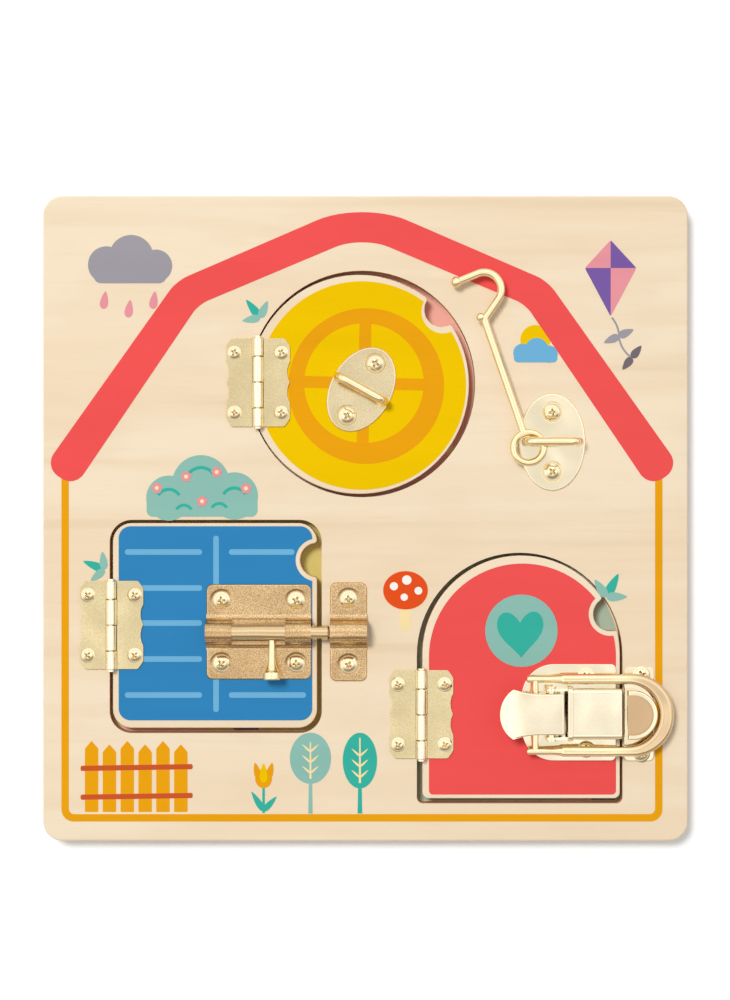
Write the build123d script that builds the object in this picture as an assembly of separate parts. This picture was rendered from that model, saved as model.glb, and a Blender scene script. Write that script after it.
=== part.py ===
from build123d import *
from math import cos, radians, sin
import os

os.makedirs("parts", exist_ok=True)

# A plywood latch board that lies on its back. +X is the picture's right, +Y its top and +Z its front.
# All sizes are in millimetres.

# Plywood: a thin back glued behind a thicker panel, which holds the three doors
board_width = 300.0
board_height = 300.0
board_corner_r = 9.0
board_edge_r = 0.9
back_thick = 3.0
panel_thick = 9.0
door_back_gap = 0.4  # between a closed door and the back
door_edge_r = 0.5
finger_r = 7.9  # finger notch in a door's free edge
notch_corner_r = 1.6
cut_over = 1.0  # how far a cut runs past what it cuts
level = 0.01  # how near a height an edge lies to count as there
face = back_thick + panel_thick

# Round door, which sits to the left of the middle of its cut-out
window_x = -2.85
window_y = 62.4
window_r = 51.0
window_cut_x = -1.7
window_cut_y = 62.6
window_cut_r = 52.7
window_axis_x = -50.0
window_chord_gap = 0.6  # from the hinge axis to the straight side of the door, and of its cut-out
window_hinge_y = 63.2
window_notch = (35.4, 97.1)

# Square door
shutter_left = -117.5
shutter_right = -22.5
shutter_top = -2.1
shutter_low = -97.4
shutter_corner_r = 8.8
shutter_gap = 1.5  # above the door and at its hinge
shutter_gap_right = 2.2
shutter_gap_low = 2.4
shutter_axis_x = -118.1
shutter_hinge_y = -49.5
shutter_notch_y = -19.3

# Arched door, which sits to the right of the middle of its cut-out
arched_x = 72.4
arched_r = 45.95
arched_y = -63.15  # centre of the arch
arched_low = -130.2
arched_corner_r = 3.0
arched_cut_x = 71.7
arched_cut_r = 47.85
arched_cut_y = -63.75
arched_cut_low = -132.5
arched_axis_x = 26.0
arched_hinge_y = -91.0
arched_notch = (113.9, -44.5)

# Round-headed wood screws
hinge_screw_r = 3.45
hinge_screw_h = 1.7
latch_screw_r = 4.0
latch_screw_h = 1.9
screw_rim_h = 0.35
screw_shank_r = 1.4
screw_length = 6.8
screw_tip = 2.2
screw_fit = 0.05

# Butterfly hinges
leaf_width = 14.9
leaf_length = 41.2
leaf_thick = 1.0
leaf_corner_r = 1.8
leaf_edge_r = 0.3
leaf_chamfer_x = 2.5
leaf_chamfer_y = 3.7
leaf_scallop = 1.25
leaf_scallop_length = 9.5
leaf_tip = 1.1  # how near the axis a leaf's flat part ends
hinge_axis_h = 2.7  # above the wood
knuckle_r = 2.35
knuckle_gap = 0.3
knuckle_end_r = 0.5
knuckle_relief = 0.35
knuckle_shares = [0.0, 0.21, 0.5, 0.79, 1.0]
curl_start = 2.9  # where the leaf starts to rise to its knuckle
curl_side = 2.2
curl_h = -0.7
hinge_pin_r = 1.1
pin_fit = 0.05
pin_head_r = 1.75
pin_head_h = 0.9
leaf_screw_x = 10.9
leaf_screw_y = 14.0

# Barrel bolt on the square door
bolt_plate_x = -49.6
bolt_plate_y = -52.7
bolt_plate_width = 48.8
bolt_plate_height = 44.4
bolt_plate_r = 3.0
bolt_plate_edge_r = 0.9
bolt_plate_thick = 1.0
bolt_screw_x = 17.4
bolt_screw_y = 14.7
dimple_r = 5.4
dimple_floor_r = 4.4
dimple_depth = 0.5
rod_r = 4.05
rod_lift = 0.1  # between the rod and the plate
rod_fit = 0.08
rod_left = -73.5
rod_step_x = -27.5
rod_chamfer = 0.7
nose_r = 3.3
loop_wall = 1.2
loop_flare_r = 3.0
left_loop_right = -61.9
right_loop_left = -37.2
lip_h = 1.4
lip_inside = 4.7
lip_tab_h = 2.4
lip_tab_left = -54.2
lip_tab_right = -45.6
knob_x = -43.3
knob_stem_r = 1.7
knob_neck = 11.4  # from the rod's axis to where the head starts to flare
knob_head_at = 18.0
knob_length = 22.2
knob_head_r = 4.35
knob_head_edge = 0.8
knob_tilt = 8.0
knob_fit = 0.05

# Keeper on the panel
keeper_x = -7.9
keeper_width = 17.2
keeper_height = 46.0
keeper_r = 3.0
keeper_screw_y = 15.3
keeper_room = 0.75
keeper_wall = 1.3
bolt_rest_gap = 0.3  # between the drawn-back bolt and the keeper

# Eye plates and staples of the hook
anchor_short_r = 15.5
anchor_long_r = 22.8
eye_short_r = 14.5
eye_long_r = 21.1
oval_thick = 1.0
oval_edge_r = 0.8
oval_screw_y = 13.8
oval_dimple_r = 5.0
staple_wire_r = 2.0
staple_half = 12.2
staple_h = 10.3  # height of the wire's centre over the wood
staple_bend_r = 4.5
staple_root = 3.0
staple_fit = 0.05
anchor_x = 86.8
anchor_y = 35.6
eye_x = -2.0
eye_y = 60.0
eye_turn = -28.6

# Hook, laid out along its shank from the centre of its ring
hook_wire_r = 1.85
hook_h = 5.5  # height of the wire's centre over the wood
ring_r = 7.1
ring_wire_r = 1.7
ring_off_x = 2.7  # ring's centre from the staple's leg with the hook fastened
ring_off_y = -0.95
hook_shank = 62.6
hook_apex_x = 85.1
hook_apex_y = -30.2
hook_tip_x = 83.3
hook_tip_y = 6.6
hook_heel_r = 3.0
hook_bend_r = 8.0
hook_ball_r = 2.5
hook_knob_r = 2.1
hook_knob_x = 1.6
hook_knob_y = 1.3
hook_fastened_turn = 161.1
hook_rest_swing = 52.0  # from the fastened place to the rest place

# Draw latch on the arched door
latch_y = -90.1
base_left = 72.6
base_right = 116.4
base_half = 22.5
base_left_r = 15.0
base_right_r = 2.4
base_thick = 1.0
base_edge_r = 0.4
base_screw_x = 102.6
base_screw_y = 17.0
bridge_left = 93.2
bridge_right = 118.3
bridge_half = 11.8
bridge_h = 10.0
bridge_wall = 1.2
bridge_r = 2.2
bridge_inner_r = 1.0
bridge_end_r = 0.5
bridge_lip = 0.9
bridge_lip_width = 2.5
bridge_lip_r = 0.6
lever_pin_x = 85.8
lever_pin_h = 8.0
lever_pin_r = 1.5
lever_pin_head_r = 2.3
lever_pin_head_h = 0.7
ear_r = 3.2
ear_overlap = 0.6
ear_gap = 0.1
lever_wall = 1.2
lever_half = 9.5
lever_top_h = 11.4
lever_right = 91.6
lever_edge_r = 0.9
lever_side_r = 0.8
lever_waist_x = 80.0
lever_bend_x = 69.0
lever_tab_x = 68.0
lever_tab_half = 11.5
lever_tip_x = 61.8
lever_tip_rise = 1.6
lever_neck_x = 73.2
lever_neck_half = 10.25
flange_left = 75.6
flange_r = 2.9
bail_pin_x = 78.5
bail_pin_h = 6.6
bail_pin_r = 1.5
bail_pin_in = 7.2
bail_neck_r = 1.65
bail_neck_left = 75.8
bail_taper_left = 86.0
bail_taper_right = 91.0
bail_taper_r = 2.1
bail_drop = 0.7  # how far the bail hangs to one side on its pins
bail_leg_left = 89.5
bail_outer_half = 19.1
bail_inner_half = 14.3
bail_outer_x = 123.5
bail_inner_x = 121.5
bail_thick = 4.4
bail_edge_r = 2.0
latch_fit = 0.05

# Strike with its catch, on the panel
strike_left = 120.2
strike_right = 134.0
strike_half = 21.9
strike_r = 2.4
strike_thick = 1.0
strike_screw_x = 128.2
strike_screw_y = 18.3
strike_edge_r = 0.4
catch_left = 121.2
catch_x = 123.7
catch_r = 11.4
catch_h = 8.0
catch_rim = 2.1
catch_dish = 1.6
catch_edge_r = 0.8


# General shapes


def block(x0, x1, y0, y1, z0, z1):
    return Pos((x0 + x1) / 2, (y0 + y1) / 2, (z0 + z1) / 2) * Box(x1 - x0, y1 - y0, z1 - z0)


def bar(radius, start, end):
    # a round bar between two points
    path = Line(start, end)
    return extrude(Plane(origin=start, z_dir=path % 0) * Circle(radius), path.length)


def wire(points, radii, radius):
    # a round wire along straight runs joined by arcs
    path = FilletPolyline(*points, radius=radii)
    return sweep(Plane(origin=path @ 0, z_dir=path % 0) * Circle(radius), path=path)


def at_height(shape, height):
    return [edge for edge in shape.edges() if abs(edge.bounding_box().min.Z - height) < level
            and abs(edge.bounding_box().max.Z - height) < level]


def holes(spots, radius, depth, top):
    # round holes that go down from just over a surface
    drill = Cylinder(radius, depth + cut_over, align=(Align.CENTER, Align.CENTER, Align.MAX))
    return [Pos(x, y, top + cut_over) * drill for x, y in spots]


def screw(head_r, head_h):
    # half a screw's outline, turned about its axis, with its seat at zero
    dome = TangentArc((0, head_h), (head_r, screw_rim_h), tangent=(1, 0))
    rest = Polyline(
        (head_r, screw_rim_h),
        (head_r, 0),
        (screw_shank_r, 0),
        (screw_shank_r, screw_tip - screw_length),
        (0, -screw_length),
        (0, head_h),
    )
    return revolve(Plane.XZ * make_face(dome + rest), Axis.Z)


def screws(spots, seat, head_r=latch_screw_r, head_h=latch_screw_h):
    return Compound([Pos(x, y, seat) * screw(head_r, head_h) for x, y in spots])


def pilots(spots):
    # holes in the wood for the screws' shanks
    return holes(spots, screw_shank_r + screw_fit, screw_length, face)


def dimples(spots, radius, top):
    # countersunk seats that a latch screw's head sits in
    slope = (radius - dimple_floor_r) / dimple_depth
    mouth_r = radius + slope * cut_over
    cone = Cone(dimple_floor_r, mouth_r, dimple_depth + cut_over, align=(Align.CENTER, Align.CENTER, Align.MIN))
    return [Pos(x, y, top - dimple_depth) * cone for x, y in spots]


def shank_holes(spots, thick, bottom):
    # holes in a plate that a screw goes through
    return holes(spots, screw_shank_r + screw_fit, thick + cut_over, bottom + thick)


def four(x, y, half_x, half_y):
    return [(x + i * half_x, y + j * half_y) for i in (-1, 1) for j in (-1, 1)]


def polar(radius, turn):
    return radius * cos(radians(turn)), radius * sin(radians(turn))


# Where the screws go

window_frame_spots = [(window_axis_x - leaf_screw_x, window_hinge_y + s * leaf_screw_y) for s in (-1, 1)]
window_door_spots = [(window_axis_x + leaf_screw_x, window_hinge_y + s * leaf_screw_y) for s in (-1, 1)]
shutter_frame_spots = [(shutter_axis_x - leaf_screw_x, shutter_hinge_y + s * leaf_screw_y) for s in (-1, 1)]
shutter_door_spots = [(shutter_axis_x + leaf_screw_x, shutter_hinge_y + s * leaf_screw_y) for s in (-1, 1)]
arched_frame_spots = [(arched_axis_x - leaf_screw_x, arched_hinge_y + s * leaf_screw_y) for s in (-1, 1)]
arched_door_spots = [(arched_axis_x + leaf_screw_x, arched_hinge_y + s * leaf_screw_y) for s in (-1, 1)]
bolt_spots = four(bolt_plate_x, bolt_plate_y, bolt_screw_x, bolt_screw_y)
keeper_spots = [(keeper_x, bolt_plate_y + s * keeper_screw_y) for s in (-1, 1)]
anchor_spots = [(anchor_x, anchor_y + s * oval_screw_y) for s in (-1, 1)]
eye_dx, eye_dy = polar(oval_screw_y, eye_turn + 90)
eye_spots = [(eye_x + s * eye_dx, eye_y + s * eye_dy) for s in (-1, 1)]
foot_dx, foot_dy = polar(staple_half, eye_turn)
eye_feet = [(eye_x + s * foot_dx, eye_y + s * foot_dy) for s in (-1, 1)]
anchor_feet = [(anchor_x + s * staple_half, anchor_y) for s in (-1, 1)]
base_spots = [(base_screw_x, latch_y + s * base_screw_y) for s in (-1, 1)]
strike_y = latch_y - bail_drop
strike_spots = [(strike_screw_x, strike_y + s * strike_screw_y) for s in (-1, 1)]


# Wood


def round_sketch(x, y, radius, chord_x):
    # a disc with a straight side at the hinge
    right = x + radius
    keep = Pos((chord_x + right) / 2, y) * Rectangle(right - chord_x, 2 * radius)
    return Pos(x, y) * Circle(radius) & keep


def square_sketch(left, right, top, low, corner_r):
    width, height = right - left, top - low
    return Pos((left + right) / 2, (top + low) / 2) * RectangleRounded(width, height, corner_r)


def arched_sketch(x, y, radius, low):
    height = y - low
    lower = Pos(x, y - height / 2) * Rectangle(2 * radius, height)
    arch = lower + Pos(x, y) * Circle(radius)
    corners = arch.vertices().sort_by(Axis.Y)[:2]
    return fillet(corners, arched_corner_r)


def door(outline, notch_x, notch_y, drilled, stapled):
    # a door's outline gets its finger notch with rounded corners, then its thickness and its holes
    bitten = outline - Pos(notch_x, notch_y) * Circle(finger_r)
    bitten = offset(offset(bitten, -notch_corner_r), notch_corner_r)
    bottom = back_thick + door_back_gap
    solid = Pos(0, 0, bottom) * extrude(bitten, face - bottom)
    solid = fillet(at_height(solid, face), door_edge_r)
    legs = holes(stapled, staple_wire_r + staple_fit, staple_root, face)
    return solid - pilots(drilled) - legs


window_outline = round_sketch(window_x, window_y, window_r, window_axis_x + window_chord_gap)
window_door = door(window_outline, *window_notch, window_door_spots + eye_spots, eye_feet)

shutter_outline = square_sketch(shutter_left, shutter_right, shutter_top, shutter_low, shutter_corner_r)
shutter_door = door(shutter_outline, shutter_right, shutter_notch_y, shutter_door_spots + bolt_spots, [])

arched_outline = arched_sketch(arched_x, arched_y, arched_r, arched_low)
arched_door = door(arched_outline, *arched_notch, arched_door_spots + base_spots, [])

cut_outs = [
    round_sketch(window_cut_x, window_cut_y, window_cut_r, window_axis_x - window_chord_gap),
    square_sketch(
        shutter_left - shutter_gap,
        shutter_right + shutter_gap_right,
        shutter_top + shutter_gap,
        shutter_low - shutter_gap_low,
        shutter_corner_r + shutter_gap,
    ),
    arched_sketch(arched_cut_x, arched_cut_y, arched_cut_r, arched_cut_low),
]

board_sketch = RectangleRounded(board_width, board_height, board_corner_r)
back_board = fillet(at_height(extrude(board_sketch, back_thick), 0), board_edge_r)
face_panel = Pos(0, 0, back_thick) * extrude(board_sketch, panel_thick)
face_panel = fillet(at_height(face_panel, face), board_edge_r)
for cut_out in cut_outs:
    face_panel -= Pos(0, 0, back_thick) * extrude(cut_out, panel_thick + cut_over)
board_spots = window_frame_spots + shutter_frame_spots + arched_frame_spots
board_spots += keeper_spots + anchor_spots + strike_spots
face_panel -= pilots(board_spots)
face_panel -= holes(anchor_feet, staple_wire_r + staple_fit, staple_root, face)


# Hinges


def leaf(first):
    # one leaf on the +X side of the hinge axis, which lies along Y through zero
    half = leaf_length / 2
    dip = leaf_width - leaf_scallop
    spread = leaf_scallop_length
    bottom = -hinge_axis_h
    edge = Polyline(
        (leaf_tip, -half),
        (leaf_width - leaf_chamfer_x, -half),
        (leaf_width, leaf_chamfer_y - half),
        (leaf_width, -spread),
    )
    edge += ThreePointArc((leaf_width, -spread), (dip, -spread / 2), (leaf_width, 0))
    edge += ThreePointArc((leaf_width, 0), (dip, spread / 2), (leaf_width, spread))
    edge += Polyline(
        (leaf_width, spread),
        (leaf_width, half - leaf_chamfer_y),
        (leaf_width - leaf_chamfer_x, half),
        (leaf_tip, half),
        (leaf_tip, -half),
    )
    outline = make_face(edge)
    corners = [vertex for vertex in outline.vertices() if vertex.X > leaf_tip + level]
    solid = Pos(0, 0, bottom) * extrude(fillet(corners, leaf_corner_r), leaf_thick)
    rims = [rim for rim in at_height(solid, bottom + leaf_thick) if rim.center().X > leaf_tip + level]
    solid = fillet(rims, leaf_edge_r)
    curl = Plane.XZ * make_face(Polyline(
        (curl_start, bottom + leaf_thick),
        (curl_side, curl_h),
        (leaf_tip, curl_h),
        (leaf_tip, bottom + leaf_thick),
        (curl_start, bottom + leaf_thick),
    ))
    for knuckle in range(len(knuckle_shares) - 1):
        top = half - knuckle_shares[knuckle] * leaf_length
        low = half - knuckle_shares[knuckle + 1] * leaf_length
        if knuckle % 2 == first:
            top -= knuckle_gap / 2 if knuckle else 0
            low += knuckle_gap / 2 if knuckle < len(knuckle_shares) - 2 else 0
            solid += Pos(0, top, 0) * extrude(curl, top - low)
            solid += fillet(bar(knuckle_r, (0, low, 0), (0, top, 0)).edges().filter_by(GeomType.CIRCLE), knuckle_end_r)
        else:
            reach = knuckle_r + knuckle_relief
            ends = cut_over, -cut_over
            over_top = ends[0] if knuckle == 0 else knuckle_gap / 2
            over_low = ends[0] if knuckle == len(knuckle_shares) - 2 else knuckle_gap / 2
            solid -= block(0, reach, low - over_low, top + over_top, bottom - cut_over, 0)
    solid -= bar(hinge_pin_r + pin_fit, (0, -half - cut_over, 0), (0, half + cut_over, 0))
    spots = [(leaf_screw_x, s * leaf_screw_y) for s in (-1, 1)]
    return solid - shank_holes(spots, leaf_thick, bottom)


def hinge_pin():
    half = leaf_length / 2
    pin = bar(hinge_pin_r, (0, -half - pin_head_h, 0), (0, half + pin_head_h, 0))
    for s in (-1, 1):
        inner = s * (half + pin_fit)
        pin += bar(pin_head_r, (0, inner, 0), (0, s * (half + pin_head_h), 0))
    return pin


door_leaf = leaf(1)
frame_leaf = mirror(leaf(0), about=Plane.YZ)
parts = {
    "back_board": back_board,
    "face_panel": face_panel,
    "window_door": window_door,
    "shutter_door": shutter_door,
    "arched_door": arched_door,
}
hinges = {
    "window": (window_axis_x, window_hinge_y, window_frame_spots, window_door_spots),
    "shutter": (shutter_axis_x, shutter_hinge_y, shutter_frame_spots, shutter_door_spots),
    "arched": (arched_axis_x, arched_hinge_y, arched_frame_spots, arched_door_spots),
}
for name, (x, y, frame_spots, door_spots) in hinges.items():
    place = Pos(x, y, face + hinge_axis_h)
    parts[name + "_hinge_frame_leaf"] = place * frame_leaf
    parts[name + "_hinge_door_leaf"] = place * door_leaf
    parts[name + "_hinge_pin"] = place * hinge_pin()
    parts[name + "_hinge_frame_screws"] = screws(frame_spots, face + leaf_thick, hinge_screw_r, hinge_screw_h)
    parts[name + "_hinge_door_screws"] = screws(door_spots, face + leaf_thick, hinge_screw_r, hinge_screw_h)


# Barrel bolt

plate_top = face + bolt_plate_thick
bolt_axis_z = plate_top + rod_r + rod_lift
loop_inner = rod_r + rod_fit


def pressed_plate(x, width, height, corner_r, spots):
    plate = Pos(x, bolt_plate_y, face) * extrude(RectangleRounded(width, height, corner_r), bolt_plate_thick)
    plate = fillet(at_height(plate, plate_top), bolt_plate_edge_r)
    plate -= dimples(spots, dimple_r, plate_top)
    return plate - shank_holes(spots, bolt_plate_thick, face)


def loop_sketch(inner_r, wall):
    # a loop pressed up out of the plate, with flared feet; zero is on the plate's top under the axis
    tube = inner_r + wall
    axis_h = rod_r + rod_lift
    foot = tube + loop_flare_r
    slant = loop_flare_r * (1 - cos(radians(45)))
    outer = Polyline((foot, 0), (-foot, 0))
    outer += ThreePointArc((-foot, 0), (-tube - slant, slant), (-tube, loop_flare_r))
    outer += Line((-tube, loop_flare_r), (-tube, axis_h))
    outer += ThreePointArc((-tube, axis_h), (0, axis_h + tube), (tube, axis_h))
    outer += Line((tube, axis_h), (tube, loop_flare_r))
    outer += ThreePointArc((tube, loop_flare_r), (tube + slant, slant), (foot, 0))
    channel = Pos(0, axis_h / 2) * Rectangle(2 * inner_r, axis_h) + Pos(0, axis_h) * Circle(inner_r)
    return make_face(outer) - channel


def loop(left, right, sketch):
    place = Plane(origin=(left, bolt_plate_y, plate_top), x_dir=(0, 1, 0), z_dir=(1, 0, 0))
    return extrude(place * sketch, right - left)


plate_left = bolt_plate_x - bolt_plate_width / 2
plate_right = bolt_plate_x + bolt_plate_width / 2
bolt_loop = loop_sketch(loop_inner, loop_wall)
flare = loop_inner + loop_wall + loop_flare_r
lips = Pos(0, lip_h / 2) * Rectangle(2 * flare, lip_h) & bolt_loop
lips -= Pos(0, lip_h / 2) * Rectangle(2 * lip_inside, lip_h)
bolt_plate = pressed_plate(bolt_plate_x, bolt_plate_width, bolt_plate_height, bolt_plate_r, bolt_spots)
bolt_plate += loop(plate_left, left_loop_right, bolt_loop)
bolt_plate += loop(right_loop_left, plate_right, bolt_loop)
bolt_plate += loop(left_loop_right, right_loop_left, lips)
tab = Pos((lip_inside + loop_inner + loop_wall) / 2, lip_tab_h / 2) * Rectangle(
    loop_inner + loop_wall - lip_inside, lip_tab_h)
bolt_plate += loop(lip_tab_left, lip_tab_right, tab)
parts["bolt_plate"] = bolt_plate
parts["bolt_plate_screws"] = screws(bolt_spots, plate_top - dimple_depth)

rod_tip = keeper_x - keeper_width / 2 - bolt_rest_gap
rod_sketch = make_face(Polyline(
    (rod_left, 0),
    (rod_left, rod_r - rod_chamfer),
    (rod_left + rod_chamfer, rod_r),
    (rod_step_x, rod_r),
    (rod_step_x, nose_r),
    (rod_tip - rod_chamfer, nose_r),
    (rod_tip, nose_r - rod_chamfer),
    (rod_tip, 0),
    (rod_left, 0),
))
parts["bolt_rod"] = Pos(0, bolt_plate_y, bolt_axis_z) * revolve(rod_sketch, Axis.X)

# The knob stands on the rod with a saddle of the rod's own radius. Its outline is drawn from the rod's axis.
knob_sketch = make_face(
    Polyline((knob_head_r, knob_length), (0, knob_length), (0, 0), (knob_stem_r, 0), (knob_stem_r, knob_neck))
    + ThreePointArc(
        (knob_stem_r, knob_neck),
        (knob_stem_r + (knob_head_r - knob_stem_r) * (1 - cos(radians(45))),
         knob_neck + (knob_head_at - knob_neck) * sin(radians(45))),
        (knob_head_r - knob_head_edge, knob_head_at),
    )
    + Polyline(
        (knob_head_r - knob_head_edge, knob_head_at),
        (knob_head_r, knob_head_at + knob_head_edge),
        (knob_head_r, knob_length),
    )
)
knob = revolve(Plane.XZ * knob_sketch, Axis.Z)
knob = fillet(knob.edges().sort_by(Axis.Z)[-1], knob_head_edge)
knob = Pos(knob_x, bolt_plate_y, bolt_axis_z) * Rot(90 - knob_tilt, 0, 0) * knob
saddle = bar(rod_r + knob_fit, (rod_left, bolt_plate_y, bolt_axis_z), (rod_tip, bolt_plate_y, bolt_axis_z))
parts["bolt_knob"] = knob - saddle

keeper = pressed_plate(keeper_x, keeper_width, keeper_height, keeper_r, keeper_spots)
keeper_loop = loop_sketch(nose_r + keeper_room, keeper_wall)
keeper += loop(keeper_x - keeper_width / 2, keeper_x + keeper_width / 2, keeper_loop)
parts["bolt_keeper"] = keeper
parts["bolt_keeper_screws"] = screws(keeper_spots, plate_top - dimple_depth)


# Hook and its two eyes


def oval(x, y, turn, short_r, long_r, spots, feet):
    plate = Pos(x, y, face) * Rot(0, 0, turn) * extrude(Ellipse(short_r, long_r), oval_thick)
    plate = fillet(at_height(plate, face + oval_thick), oval_edge_r)
    plate -= dimples(spots, oval_dimple_r, face + oval_thick)
    plate -= shank_holes(spots, oval_thick, face)
    return plate - holes(feet, staple_wire_r + staple_fit, oval_thick + cut_over, face + oval_thick)


def staple(x, y, turn):
    points = [
        (-staple_half, 0, face - staple_root),
        (-staple_half, 0, face + staple_h),
        (staple_half, 0, face + staple_h),
        (staple_half, 0, face - staple_root),
    ]
    return Pos(x, y, 0) * Rot(0, 0, turn) * wire(points, staple_bend_r, staple_wire_r)


parts["eye_plate"] = oval(eye_x, eye_y, eye_turn, eye_short_r, eye_long_r, eye_spots, eye_feet)
parts["eye_staple"] = staple(eye_x, eye_y, eye_turn)
parts["eye_screws"] = screws(eye_spots, face + oval_thick - dimple_depth)
parts["anchor_plate"] = oval(anchor_x, anchor_y, 0, anchor_short_r, anchor_long_r, anchor_spots, anchor_feet)
parts["anchor_staple"] = staple(anchor_x, anchor_y, 0)
parts["anchor_screws"] = screws(anchor_spots, face + oval_thick - dimple_depth)

hook_points = [(ring_r, 0, 0), (hook_shank, 0, 0), (hook_apex_x, hook_apex_y, 0), (hook_tip_x, hook_tip_y, 0)]
hook = wire(hook_points, [hook_heel_r, hook_bend_r], hook_wire_r)
hook += Torus(ring_r, ring_wire_r)
hook += Pos(hook_tip_x, hook_tip_y) * Sphere(hook_ball_r)
hook += Pos(hook_shank + hook_knob_x, hook_knob_y) * Sphere(hook_knob_r)
# The hook swings about the staple's left leg, so it is placed from there.
pivot = Pos(anchor_x - staple_half, anchor_y, face + hook_h)
hook = pivot * Rot(0, 0, -hook_rest_swing) * Pos(ring_off_x, ring_off_y) * Rot(0, 0, hook_fastened_turn) * hook
parts["hook"] = hook


# Draw latch


def side_view(sketch, y0, y1):
    # a shape drawn as X and height over the wood, made solid between two values of Y
    place = Plane(origin=(0, y1, face), x_dir=(1, 0, 0), z_dir=(0, -1, 0))
    return extrude(place * sketch, y1 - y0)


def pair(sketch, inner, outer):
    # the same side wall on both sides of the latch's middle line
    return side_view(sketch, latch_y + inner, latch_y + outer) + side_view(sketch, latch_y - outer, latch_y - inner)


def cross_bar(x, height, radius, half):
    return bar(radius, (x, latch_y - half, face + height), (x, latch_y + half, face + height))


base_plan = Pos((base_left + base_right) / 2, latch_y) * Rectangle(base_right - base_left, 2 * base_half)
base_plan = fillet(base_plan.vertices().sort_by(Axis.X)[:2], base_left_r)
base_plan = fillet(base_plan.vertices().sort_by(Axis.X)[-2:], base_right_r)
latch_base = Pos(0, 0, face) * extrude(base_plan, base_thick)
latch_base = fillet(at_height(latch_base, face + base_thick), base_edge_r)
bridge_plane = Plane(origin=(bridge_left, latch_y, face), x_dir=(0, 1, 0), z_dir=(1, 0, 0))
bridge = Pos(0, bridge_h / 2) * Rectangle(2 * bridge_half, bridge_h)
bridge = fillet(bridge.vertices().sort_by(Axis.Y)[-2:], bridge_r)
tunnel_h = bridge_h - bridge_wall
tunnel = Pos(0, tunnel_h / 2) * Rectangle(2 * (bridge_half - bridge_wall), tunnel_h)
tunnel = fillet(tunnel.vertices().sort_by(Axis.Y)[-2:], bridge_inner_r)


def outside(shape, x):
    # the outer edges at one end of the bridge or of its lip, apart from those on the wood
    return [rim for rim in shape.edges() if abs(rim.center().X - x) < level and rim.bounding_box().size.X < level
            and rim.bounding_box().max.Z > face + bridge_wall
            and (abs(rim.center().Y - latch_y) > bridge_half - bridge_wall / 2
                 or rim.center().Z > face + bridge_h - bridge_wall / 2)]


bridge_solid = extrude(bridge_plane * (bridge - tunnel), bridge_right - bridge_left)
bridge_solid = fillet(outside(bridge_solid, bridge_right), bridge_end_r)
above = Pos(0, bridge_h) * Rectangle(3 * bridge_half, 2 * bridge_h)
lip = extrude(bridge_plane * ((offset(bridge, bridge_lip) & above) - tunnel), bridge_lip_width)
lip = fillet(outside(lip, bridge_left) + outside(lip, bridge_left + bridge_lip_width), bridge_lip_r)
latch_base += bridge_solid + lip
ear = make_face(Polyline(
    (lever_pin_x - ear_r, 0),
    (lever_pin_x - ear_r, lever_pin_h),
    (lever_pin_x, lever_pin_h + ear_r),
    (bridge_left + ear_overlap, tunnel_h),
    (bridge_left + ear_overlap, 0),
    (lever_pin_x - ear_r, 0),
)) + Pos(lever_pin_x, lever_pin_h) * Circle(ear_r)
latch_base += pair(ear, bridge_half - bridge_wall, bridge_half)
latch_base -= cross_bar(lever_pin_x, lever_pin_h, lever_pin_r + latch_fit, bridge_half + cut_over)
latch_base -= shank_holes(base_spots, base_thick, face)
parts["latch_base"] = latch_base
parts["latch_base_screws"] = screws(base_spots, face + base_thick)

pin_end = bridge_half + ear_gap + lever_pin_head_h
lever_pin = cross_bar(lever_pin_x, lever_pin_h, lever_pin_r, pin_end)
for s in (-1, 1):
    start = (lever_pin_x, latch_y + s * (bridge_half + ear_gap), face + lever_pin_h)
    end = (lever_pin_x, latch_y + s * pin_end, face + lever_pin_h)
    lever_pin += bar(lever_pin_head_r, start, end)
parts["latch_lever_pin"] = lever_pin

# The lever is a bent strip cut to its plan, with a flange on each side for the two pins.
strip_low = lever_top_h - lever_wall
strip = make_face(Polyline(
    (lever_right, strip_low),
    (lever_right, lever_top_h),
    (lever_bend_x, lever_top_h),
    (lever_tip_x, lever_top_h + lever_tip_rise),
    (lever_tip_x, strip_low + lever_tip_rise),
    (lever_bend_x, strip_low),
    (lever_right, strip_low),
))
strip = fillet(strip.vertices().sort_by(lambda v: -v.X - v.Y)[0], lever_edge_r)
lever = side_view(strip, latch_y - lever_tab_half, latch_y + lever_tab_half)
plan = Polyline((lever_waist_x, lever_half), (lever_right, lever_half), (lever_right, -lever_half),
                (lever_waist_x, -lever_half))
plan += ThreePointArc((lever_waist_x, -lever_half), (lever_neck_x, -lever_neck_half), (lever_tab_x, -lever_tab_half))
plan += ThreePointArc((lever_tab_x, -lever_tab_half), (lever_tip_x, 0), (lever_tab_x, lever_tab_half))
plan += ThreePointArc((lever_tab_x, lever_tab_half), (lever_neck_x, lever_neck_half), (lever_waist_x, lever_half))
lever &= Pos(0, latch_y, face) * extrude(make_face(plan), lever_top_h + lever_tip_rise + cut_over)
sides = [side for side in at_height(lever, face + lever_top_h) if side.bounding_box().size.X > level]
lever = fillet(sides, lever_side_r)
lean_x, lean_h = lever_pin_x - bail_pin_x, lever_pin_h - bail_pin_h
lean = Vector(lean_x, lean_h).normalized() * flange_r
flange = make_face(Polyline(
    (flange_left, bail_pin_h),
    (flange_left, lever_top_h - lever_wall / 2),
    (lever_right - lever_edge_r, lever_top_h - lever_wall / 2),
    (lever_pin_x + flange_r, lever_pin_h),
    (lever_pin_x + lean.Y, lever_pin_h - lean.X),
    (bail_pin_x + lean.Y, bail_pin_h - lean.X),
    (flange_left, bail_pin_h),
))
flange += Pos(bail_pin_x, bail_pin_h) * Circle(flange_r) + Pos(lever_pin_x, lever_pin_h) * Circle(flange_r)
lever += pair(flange, lever_half - lever_wall, lever_half)
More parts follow.
